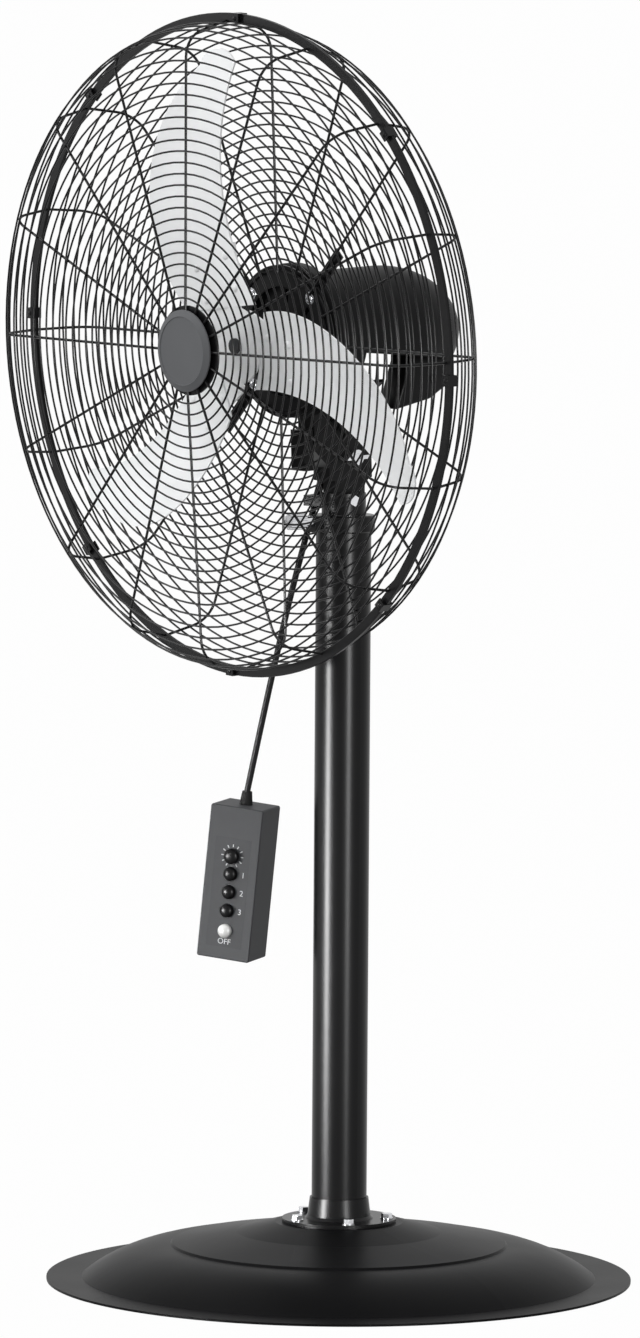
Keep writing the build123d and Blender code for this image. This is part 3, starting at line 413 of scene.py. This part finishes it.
def addGuardRings(guard):
    path = guardPath(guard)
    total = (path["bendStart"] - path["start"]).length + guardShape["bend"] * path["turn"]
    total += (path["end"] - path["bendEnd"]).length
    outset = (guardShape["spokeWire"] + guardShape["ringWire"]) / 2 - guardShape["weldSink"]
    bm = bmesh.new()
    distance = guard["firstRing"] - guard["start"]
    while distance < total - guardShape["spareEnd"]:
        place, out = alongPath(path, distance)
        place = place + out * outset
        seat = Matrix.Translation((place.x, 0, place.y)) @ Matrix.Rotation(pi / 2, 4, "X")
        ring = bmesh.ops.create_circle(bm, radius=guardShape["ringWire"] / 2, matrix=seat,
                                       segments=guardShape["wireSides"])
        edges = list({edge for vert in ring["verts"] for edge in vert.link_edges})
        steps = guardShape["smallRingSteps" if place.x < guardShape["smallRing"] else "ringSteps"]
        bmesh.ops.spin(bm, geom=ring["verts"] + edges, axis=(0, 0, 1), cent=(0, 0, 0), angle=2 * pi,
                       steps=steps, use_merge=True)
        distance += guardShape["ringPitch"]
    side = guard["name"]
    replaced = (side + "_face_rings", side + "_rim_rings")
    addPiece(side + "GuardRings", bm, fanFrame, "wire_paint", "head", replaced)


def addGuardSpokes(guard):
    path = guardPath(guard)
    bm = bmesh.new()
    lie = Matrix((Vector((0, 1, 0)), path["normal"].to_3d().xzy, path["inward"].to_3d().xzy))
    lie = lie.transposed().to_4x4()
    lie.translation = (path["start"].x, 0, path["start"].y)
    bmesh.ops.create_circle(bm, radius=guardShape["spokeWire"] / 2, segments=guardShape["wireSides"],
                            matrix=lie, cap_ends=True)
    rim = bm.edges[:]

    def onwards(edges, vector):
        grown = bmesh.ops.extrude_edge_only(bm, edges=edges)["geom"]
        bmesh.ops.translate(bm, verts=vertsOf(grown), vec=vector)
        return edgesOf(grown)

    rim = onwards(rim, (path["bendStart"] - path["start"]).to_3d().xzy)
    centre = path["centre"].to_3d().xzy
    turned = bmesh.ops.spin(bm, geom=rim, axis=(0, path["sign"], 0), cent=centre, angle=path["turn"],
                            steps=guardShape["bendSteps"])["geom_last"]
    rim = onwards(edgesOf(turned), (path["end"] - path["bendEnd"]).to_3d().xzy)
    bmesh.ops.holes_fill(bm, edges=rim)
    count = guardShape["spokes"]
    bmesh.ops.rotate(bm, verts=bm.verts, cent=(0, 0, 0), matrix=Matrix.Rotation(pi / 2, 3, "Z"))
    bmesh.ops.spin(bm, geom=allOf(bm), axis=(0, 0, 1), cent=(0, 0, 0),
                   angle=2 * pi * (count - 1) / count, steps=count - 1, use_duplicate=True)
    side = guard["name"]
    addPiece(side + "GuardSpokes", bm, fanFrame, "wire_paint", "head", (side + "_guard_spokes",))


def addGuardHoop(guard):  # a flat ring of steel strip, to which the spokes are welded
    sign = 1 if guard["startDepth"] > 0 else -1
    inner, outer, edge = guardShape["hoopInner"], guardShape["hoopOuter"], guardShape["hoopEdge"]
    near = guardShape["seam"] + sign * guardShape["hoopGap"]
    far = near + sign * guardShape["hoopPlate"]
    bm = lathe([(inner, near), (outer, near), (outer, far - sign * edge), (outer - edge, far),
                (inner + edge, far), (inner, far - sign * edge), (inner, near)], guardShape["hoopSteps"])
    side = guard["name"]
    addPiece(side + "GuardHoop", bm, fanFrame, "wire_paint", "head", (side + "_guard_hoop",))


for guard in (frontGuard, rearGuard):
    addGuardHoop(guard)
    addGuardRings(guard)
    addGuardSpokes(guard)
print("guards wired")

# gland: a slim moulded sleeve that grips the cord where it leaves the neck
glandSleeve = {"inside": 26.0, "innerRadius": 4.2, "lipRadius": 5.0, "lip": 4.0, "end": 8.4,
               "endRadius": 4.0, "steps": 32}


def addGlandSleeve():
    slant = radians(cordLay["glandSlant"])
    down = cordOut * sin(slant) - Vector((0, 0, cos(slant)))
    seat = down.to_track_quat("Z", "Y").to_matrix().to_4x4()
    seat.translation = (cordOut * cordLay["glandReach"] + Vector((0, 0, cordLay["glandHeight"]))) * mm
    bm = lathe([(0, -glandSleeve["inside"]), (glandSleeve["innerRadius"], -glandSleeve["inside"]),
                (glandSleeve["innerRadius"], 0), (glandSleeve["lipRadius"], glandSleeve["lip"]),
                (glandSleeve["endRadius"], glandSleeve["end"]), (0, glandSleeve["end"])],
               glandSleeve["steps"])
    addPiece("cordGlandSleeve", bm, seat, "black_plastic", "neck", ("cable_gland",))


addGlandSleeve()

# blades: each is held by four round-headed rivets, on the line of the pressed sheet
bladeSheetShape = {"count": 3, "lead": 6.5, "middle": 2.0, "pitch": 11.2, "camber": 7.0, "sheet": 2.0,
                   "sheetMiddle": -20.0, "halfSheet": 80.0}
rivetShape = {"places": ((93.0, -4.0), (83.0, -43.0), (59.0, 5.0), (49.5, -34.0)), "radius": 4.2,
              "height": 1.7, "hubPlace": (20.0, -6.3), "hubRadius": 3.4, "hubSink": 2.05}


def bladeDepth(across):  # front face of the pressed sheet, ahead of the cage's middle
    chord = bladeSheetShape["middle"] - across * tan(radians(bladeSheetShape["pitch"]))
    share = (across - bladeSheetShape["sheetMiddle"]) / bladeSheetShape["halfSheet"]
    return chord - bladeSheetShape["camber"] * (1 - share * share) + bladeSheetShape["sheet"]


def domeHead(bm, place, radius, height):  # a round head: a flattened ball, half sunk in its seat
    ball = bmesh.ops.create_uvsphere(bm, u_segments=16, v_segments=8, radius=1.0)["verts"]
    bmesh.ops.scale(bm, vec=(radius, radius, height), verts=ball)
    bmesh.ops.transform(bm, matrix=place, verts=ball)


def addRivets():
    bm = bmesh.new()
    for blade in range(bladeSheetShape["count"]):
        turn = aroundAxis(bladeSheetShape["lead"], -blade, bladeSheetShape["count"])
        for reach, across in rivetShape["places"]:
            slope = atan((bladeDepth(across + 1) - bladeDepth(across - 1)) / 2)
            seat = Matrix.Translation((across, reach, bladeDepth(across))) @ Matrix.Rotation(-slope, 4, "Y")
            domeHead(bm, turn @ seat, rivetShape["radius"], rivetShape["height"])
        reach, across = rivetShape["hubPlace"]
        seat = Matrix.Translation((across, reach, bladeDepth(across) - rivetShape["hubSink"]))
        domeHead(bm, turn @ seat, rivetShape["hubRadius"], rivetShape["height"])
    addPiece("bladeRivets", bm, fanFrame, "aluminium", "rotor")


addRivets()

# bell screws: cross-head screws on washers, through the ring plate into the ears
bellScrews = {"count": 4, "start": 45.0, "reach": 66.5, "seat": -62.4, "washer": 7.0, "washerHeight": 1.0,
              "washerEdge": 0.4, "radius": 5.4, "height": 3.4, "slot": 1.6, "coreShare": 0.9,
              "coreTopShare": 0.7, "coreHeightShare": 0.5}


def crossHead(bm, place, shape):  # four quarters of a round head, apart by the width of the driver's slots
    half = shape["slot"] / 2
    made = bmesh.new()
    domeHead(made, Matrix.Identity(4), shape["radius"], shape["height"])
    for way in ((1, 0, 0), (0, 1, 0)):
        cut = bmesh.ops.bisect_plane(made, geom=allOf(made), plane_co=[w * half for w in way], plane_no=way,
                                     clear_inner=True)["geom_cut"]
        bmesh.ops.contextual_create(made, geom=edgesOf(cut))
    bmesh.ops.spin(made, geom=allOf(made), axis=(0, 0, 1), cent=(0, 0, 0), angle=1.5 * pi, steps=3,
                   use_duplicate=True)
    coreHeight = shape["height"] * shape["coreHeightShare"]  # the slots end on a core
    core = bmesh.ops.create_cone(made, cap_ends=True, segments=24, depth=coreHeight,
                                 radius1=shape["radius"] * shape["coreShare"],
                                 radius2=shape["radius"] * shape["coreTopShare"])["verts"]
    bmesh.ops.translate(made, vec=(0, 0, coreHeight / 2), verts=core)
    bmesh.ops.transform(made, matrix=place, verts=made.verts)
    mesh = bpy.data.meshes.new("crossHead")
    made.to_mesh(mesh)
    made.free()
    bm.from_mesh(mesh)
    bpy.data.meshes.remove(mesh)


def addBellScrews():
    bm = bmesh.new()
    for index in range(bellScrews["count"]):
        turn = aroundAxis(bellScrews["start"], index, bellScrews["count"])
        seat = turn @ Matrix.Translation((bellScrews["reach"], 0, bellScrews["seat"]))
        height = bellScrews["washerHeight"]
        washer = bmesh.ops.create_cone(bm, cap_ends=True, segments=32, depth=height,
                                       radius1=bellScrews["washer"],
                                       radius2=bellScrews["washer"] - bellScrews["washerEdge"])["verts"]
        bmesh.ops.transform(bm, matrix=seat @ Matrix.Translation((0, 0, height / 2)), verts=washer)
        crossHead(bm, seat @ Matrix.Translation((0, 0, height)), bellScrews)
    addPiece("bellScrewHeads", bm, fanFrame, "chrome", "head", ("bell_screws",))


addBellScrews()

# motor hood: a pressed barrel with a domed rear, cut off along a floor line that falls towards the rear
motorHood = {"frontRadius": 66.0, "radius": 69.5, "front": 88.0, "barrel": 140.0, "domeStart": 190.0,
             "domeLength": 95.0, "sheet": 2.5, "arcs": 14, "steps": 96, "floorAhead": (-13.0, -123.0),
             "floorBehind": (-26.0, -230.0)}


def hoodOutline(inset):
    radius = motorHood["radius"] - inset
    outline = [(motorHood["frontRadius"] - inset, -motorHood["front"]), (radius, -motorHood["barrel"])]
    for step in range(motorHood["arcs"] + 1):
        angle = pi / 2 * step / motorHood["arcs"]
        behind = motorHood["domeStart"] + (motorHood["domeLength"] - inset) * sin(angle)
        outline.append((radius * cos(angle), -behind))
    return outline


def addMotorHood():
    bm = lathe(hoodOutline(motorHood["sheet"])[::-1] + hoodOutline(0), motorHood["steps"])
    ahead = Vector((0, *motorHood["floorAhead"]))
    behind = Vector((0, *motorHood["floorBehind"]))
    upward = Vector((1, 0, 0)).cross(ahead - behind) * -1
    cut = bmesh.ops.bisect_plane(bm, geom=allOf(bm), plane_co=ahead, plane_no=upward,
                                 clear_inner=True)["geom_cut"]
    bmesh.ops.triangle_fill(bm, edges=edgesOf(cut), use_beauty=True)
    addPiece("motorHoodShell", bm, fanFrame, "motor_paint", "head", ("motor_cover",))


# motor can: a drum behind the bell with a stepped rear boss for the bearing
motorCan = {"radius": 58.0, "front": 86.0, "rear": 133.0, "edge": 5.0, "boss": 34.0, "bossRear": 146.0,
            "bearing": 24.0, "bearingRear": 164.0, "steps": 72}


def addMotorCan():
    can = motorCan
    bm = lathe([(0, -can["bearingRear"]), (can["bearing"] - can["edge"], -can["bearingRear"]),
                (can["bearing"], -can["bearingRear"] + can["edge"]), (can["bearing"], -can["bossRear"]),
                (can["boss"], -can["bossRear"]), (can["boss"], -can["rear"]),
                (can["radius"] - can["edge"], -can["rear"]), (can["radius"], -can["rear"] + can["edge"]),
                (can["radius"], -can["front"]), (0, -can["front"])], can["steps"])
    addPiece("motorCanDrum", bm, fanFrame, "motor_paint", "head", ("motor_body", "stator_core"))


# terminal box: hangs under the hood's near side, its front leaning forward and its floor rising to the rear
terminalBox = {"side": ((-20.0, -212.0), (-79.0, -189.0), (-71.0, -236.0), (-56.0, -264.0), (-24.0, -264.0)),
               "from": -2.0, "to": 30.0, "edge": 3.0, "plug": (-50.0, -240.0), "plugRadius": 5.0,
               "plugHeight": 2.0}


def addTerminalBox():
    bm = bmesh.new()
    corners = [bmesh.ops.create_vert(bm, co=(terminalBox["from"], up, ahead))["vert"][0]
               for up, ahead in terminalBox["side"]]
    wall = bmesh.ops.contextual_create(bm, geom=corners)["faces"]
    grown = bmesh.ops.extrude_face_region(bm, geom=wall, use_keep_orig=True)["geom"]
    bmesh.ops.translate(bm, vec=(terminalBox["to"] - terminalBox["from"], 0, 0), verts=vertsOf(grown))
    bmesh.ops.bevel(bm, geom=bm.edges[:], offset=terminalBox["edge"], segments=3, affect="EDGES", profile=0.5,
                    material=-1)
    addPiece("terminalBoxCase", bm, fanFrame, "black_plastic", "head", ("terminal_box",))
    bm = bmesh.new()
    seat = Matrix.Translation((terminalBox["to"], *terminalBox["plug"])) @ Matrix.Rotation(pi / 2, 4, "Y")
    domeHead(bm, seat, terminalBox["plugRadius"], terminalBox["plugHeight"])
    addPiece("terminalBoxPlug", bm, fanFrame, "rubber", "head")


addMotorHood()
addMotorCan()
addTerminalBox()
print("motor dressed")

# guard clips: a pan-head screw in the front leg of each
clipShape = {"count": 8, "start": 87.0, "reach": 336.6, "front": 4.2, "radius": 3.0, "height": 1.4}


def addClipScrews():
    bm = bmesh.new()
    for index in range(clipShape["count"]):
        turn = aroundAxis(clipShape["start"], index, clipShape["count"])
        seat = Matrix.Translation((clipShape["reach"], 0, clipShape["front"]))
        domeHead(bm, turn @ seat, clipShape["radius"], clipShape["height"])
    addPiece("clipScrews", bm, fanFrame, "wire_paint", "head")


addClipScrews()
print("rivets and screws in")

# control face: domed buttons, a gripped dial with ticks round it, plain numbers and OFF
buttonCap = {"radius": 7.2, "inside": -9.5, "straight": 2.4, "top": 6.6, "arcs": 8, "steps": 40,
             "speeds": (("low", 71.0), ("mid", 90.2), ("high", 110.0)), "stopDrop": 131.5}
dialKnob = {"radius": 8.0, "inside": 0.5, "straight": 4.5, "top": 8.5, "arcs": 8, "steps": 40,
            "gripDepth": 0.5, "stemRadius": 3.0, "stemInside": -9.0}
faceMarks = {"face": -25.0, "lift": 0.06, "dialDrop": 52.0, "tickInner": 9.4, "tickOuter": 12.4,
             "tickWidth": 1.0, "tickHeight": 0.08, "ticks": 11, "tickSweep": 300.0, "numberSize": 8.4,
             "numberAside": 14.0, "numberHeight": 0.04, "offDrop": 143.0}


def domedCap(cap):
    outline = [(0, cap["inside"]), (cap["radius"], cap["inside"])]
    dome = cap["top"] - cap["straight"]
    for step in range(cap["arcs"] + 1):
        angle = pi / 2 * step / cap["arcs"]
        outline.append((cap["radius"] * cos(angle), cap["straight"] + dome * sin(angle)))
    return lathe(outline, cap["steps"])


def seatOnFace(bm, drop):
    seat = Matrix.Translation((0, faceMarks["face"], -drop)) @ Matrix.Rotation(pi / 2, 4, "X")
    bmesh.ops.transform(bm, matrix=seat, verts=bm.verts)


def addButtonCap(name, drop, finish, node):
    bm = domedCap(buttonCap)
    seatOnFace(bm, drop)
    addPiece(name + "ButtonCap", bm, pendantFrame, finish, name + "_button", (node,))


def addDialKnob():
    bm = domedCap(dialKnob)
    rim = [vert for vert in bm.verts if vert.co.xy.length > dialKnob["radius"] - 0.01]
    step = 2 * pi / dialKnob["steps"]
    grooves = [vert for vert in rim if round(vert.co.xy.angle_signed((1, 0)) / step) % 2]  # every second step
    inward = 1 - dialKnob["gripDepth"] / dialKnob["radius"]
    bmesh.ops.scale(bm, vec=(inward, inward, 1), verts=grooves)
    top, bottom = dialKnob["inside"], dialKnob["stemInside"]
    stem = bmesh.ops.create_cone(bm, cap_ends=True, segments=24, radius1=dialKnob["stemRadius"],
                                 radius2=dialKnob["stemRadius"], depth=top - bottom)["verts"]
    bmesh.ops.translate(bm, vec=(0, 0, (top + bottom) / 2), verts=stem)
    seatOnFace(bm, faceMarks["dialDrop"])
    addPiece("timerDialKnob", bm, pendantFrame, "black_plastic", "dial", ("timer_dial",))


def addFaceTicks():
    bm = bmesh.new()
    inner, outer = faceMarks["tickInner"], faceMarks["tickOuter"]
    for index in range(faceMarks["ticks"]):
        angle = radians(faceMarks["tickSweep"] * (0.5 - index / (faceMarks["ticks"] - 1)))
        bar = bmesh.ops.create_cube(bm, size=1.0)["verts"]
        bmesh.ops.scale(bm, vec=(faceMarks["tickWidth"], faceMarks["tickHeight"], outer - inner), verts=bar)
        bmesh.ops.translate(bm, vec=(0, 0, (outer + inner) / 2), verts=bar)
        bmesh.ops.rotate(bm, cent=(0, 0, 0), matrix=Matrix.Rotation(angle, 3, "Y"), verts=bar)
        seat = Vector((0, faceMarks["face"] - faceMarks["lift"], -faceMarks["dialDrop"]))
        bmesh.ops.translate(bm, vec=seat, verts=bar)
    addPiece("dialTicks", bm, pendantFrame, "ink", "pendant", smooth=False)


def addFaceText(name, words, aside, drop):
    data = bpy.data.curves.new(name, "FONT")
    data.body = words
    data.size = faceMarks["numberSize"]
    data.align_x, data.align_y = "CENTER", "CENTER"
    data.extrude = faceMarks["numberHeight"]
    holder = bpy.data.objects.new(name, data)
    bpy.context.scene.collection.objects.link(holder)
    bpy.context.view_layer.update()
    mesh = bpy.data.meshes.new_from_object(holder.evaluated_get(bpy.context.evaluated_depsgraph_get()))
    bpy.data.objects.remove(holder)
    bm = bmesh.new()
    bm.from_mesh(mesh)
    place = Matrix.Translation((aside, faceMarks["face"] - faceMarks["lift"], -drop))
    bmesh.ops.transform(bm, matrix=place @ Matrix.Rotation(pi / 2, 4, "X"), verts=bm.verts)
    addPiece(name, bm, pendantFrame, "ink", "pendant", smooth=False)


for name, drop in buttonCap["speeds"]:
    addButtonCap(name, drop, "black_plastic", name + "_speed_button")
addButtonCap("stop", buttonCap["stopDrop"], "white_plastic", "off_button")
addDialKnob()
addFaceTicks()
for number, (name, drop) in enumerate(buttonCap["speeds"], 1):
    addFaceText("speedNumber" + str(number), str(number), faceMarks["numberAside"], drop)
addFaceText("offWord", "OFF", 0, faceMarks["offDrop"])
print("control face marked")

# floor, backdrop and lights, in metres: the sky is brighter on the side that the fan faces, and two strips
# only draw the upright highlights on the pole
studio = {"floorSize": 600.0, "whiteShare": 0.98, "skyFrom": (-0.35, -0.8, 0.48), "skyDim": 0.15,
          "skyBright": 1.85}
lamps = (
    {"name": "leftStrip", "place": (-0.34, -1.87, 0.32), "aim": (0, 0, 0.32), "watts": 8.5,
     "size": (1.0, 0.56), "spread": 25, "glossOnly": True},
    {"name": "rightStrip", "place": (2.6, -0.59, 0.6), "aim": (0, 0, 0.5), "watts": 6,
     "size": (0.5, 1.2), "spread": 45, "glossOnly": True},
    {"name": "headSoft", "place": (-2.2, -2.8, 2.0), "aim": (0, -0.1, 0.9), "watts": 19,
     "size": (1.6, 1.6), "spread": 120, "glossOnly": False},
    {"name": "topSoft", "place": (-1.0, -1.4, 4.2), "aim": (0, 0, 0.7), "watts": 8,
     "size": (2.0, 2.0), "spread": 150, "glossOnly": False},
)


def whiteRays(tree):  # 1 for what the camera, a mirror or clear glass shows of the backdrop
    path = addNode(tree, "ShaderNodeLightPath")
    white = path.outputs["Is Camera Ray"]
    for rays in ("Is Glossy Ray", "Is Transmission Ray"):
        either = addNode(tree, "ShaderNodeMath", [(0, white), (1, path.outputs[rays])], operation="MAXIMUM")
        white = either.outputs[0]
    return white


def addFloor():
    bm = bmesh.new()
    bmesh.ops.create_grid(bm, x_segments=1, y_segments=1, size=studio["floorSize"] / 2)
    mesh = bpy.data.meshes.new("paleFloor")
    bm.to_mesh(mesh)
    bm.free()
    floor = bpy.data.objects.new("paleFloor", mesh)
    bpy.context.scene.collection.objects.link(floor)
    material, tree, bsdf, coords = newMaterial("paleStudioFloor", 0.0, 0.9)
    speckle(tree, bsdf, coords, 40.0, ("#8e8e8e", "#929292"), (0.88, 0.94), 0.01)
    share = addNode(tree, "ShaderNodeMath", [(0, whiteRays(tree))], operation="MULTIPLY")
    share.inputs[1].default_value = studio["whiteShare"]
    glow = addNode(tree, "ShaderNodeEmission", Color=(1, 1, 1, 1), Strength=1.0)
    mix = addNode(tree, "ShaderNodeMixShader",
                  [("Fac", share.outputs[0]), (1, bsdf.outputs[0]), (2, glow.outputs[0])])
    tree.links.new(mix.outputs[0], tree.nodes["Material Output"].inputs["Surface"])
    mesh.materials.append(material)


def addLamps():
    for lamp in lamps:
        data = bpy.data.lights.new(lamp["name"], "AREA")
        data.shape = "RECTANGLE"
        data.size, data.size_y = lamp["size"]
        data.energy = lamp["watts"]
        data.spread = radians(lamp["spread"])
        holder = bpy.data.objects.new(lamp["name"], data)
        bpy.context.scene.collection.objects.link(holder)
        aim = Vector(lamp["aim"]) - Vector(lamp["place"])
        holder.rotation_euler = aim.to_track_quat("-Z", "Y").to_euler()
        holder.location = lamp["place"]
        holder.visible_diffuse = not lamp["glossOnly"]


def addSky():  # white where the camera looks past the object, a plain level of light elsewhere
    world = bpy.data.worlds.new("studioWhite")
    world.use_nodes = True
    bpy.context.scene.world = world
    tree = world.node_tree
    tree.nodes.clear()
    seen = addNode(tree, "ShaderNodeBackground", Color=(1, 1, 1, 1), Strength=1.0)
    coords = addNode(tree, "ShaderNodeTexCoord").outputs["Generated"]
    facing = addNode(tree, "ShaderNodeVectorMath", [(0, coords)], operation="DOT_PRODUCT")
    facing.inputs[1].default_value = Vector(studio["skyFrom"]).normalized()
    level = addNode(tree, "ShaderNodeMapRange", [("Value", facing.outputs["Value"])],
                    From_Min=-1.0, From_Max=1.0, To_Min=studio["skyDim"], To_Max=studio["skyBright"])
    lit = addNode(tree, "ShaderNodeBackground", [("Strength", level.outputs["Result"])], Color=(1, 1, 1, 1))
    mix = addNode(tree, "ShaderNodeMixShader",
                  [("Fac", whiteRays(tree)), (1, lit.outputs[0]), (2, seen.outputs[0])])
    addNode(tree, "ShaderNodeOutputWorld", [("Surface", mix.outputs[0])])


addFloor()
addLamps()
addSky()
bpy.context.scene.view_settings.view_transform = "Standard"
print("studio lit")
